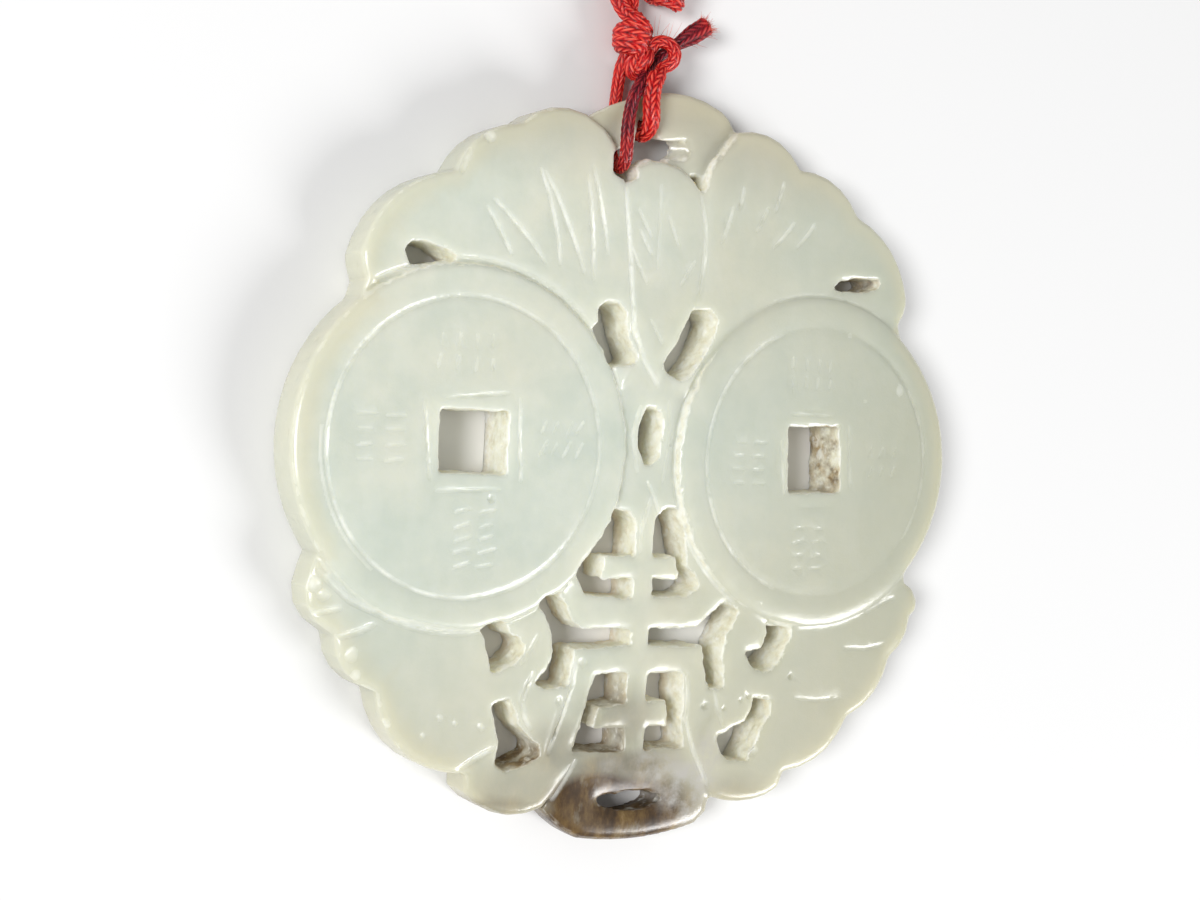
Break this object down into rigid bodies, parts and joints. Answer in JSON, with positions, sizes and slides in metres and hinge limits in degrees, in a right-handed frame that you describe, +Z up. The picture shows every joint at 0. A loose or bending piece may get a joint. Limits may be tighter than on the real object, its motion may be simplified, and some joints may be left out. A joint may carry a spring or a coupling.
{
  "type": "pierced jade pendant plaque",
  "caption": "Round pierced jade pendant plaque carved with twin square-holed coins among wings, petals, leaves and a fret, lying flat on a knotted red braided neck cord.",
  "frame": {"origin": "below the middle of the jade plaque, on the surface that it lies on", "axes": "+Z up out of the carved face, +Y to the plaque's top where the cord is tied, +X to the right"},
  "size_m": [0.0606, 0.1015, 0.0055],
  "materials": {
    "jade": "polished, slightly translucent, with brown skin at the foot",
    "red_cord": "braided, with a soft sheen"
  },
  "bodies": {
    "root": {"jade_plaque": "jade", "cord_strand_thin": "red_cord", "cord_strand_thick": "red_cord", "knot_upper": "red_cord", "knot_lower": "red_cord", "cord_tail": "red_cord", "cord_neck": "red_cord", "knot_top": "red_cord", "cord_run_left": "red_cord", "cord_run_right": "red_cord", "cord_coil": "red_cord", "coil_tie": "red_cord"}
  },
  "joints": []
}
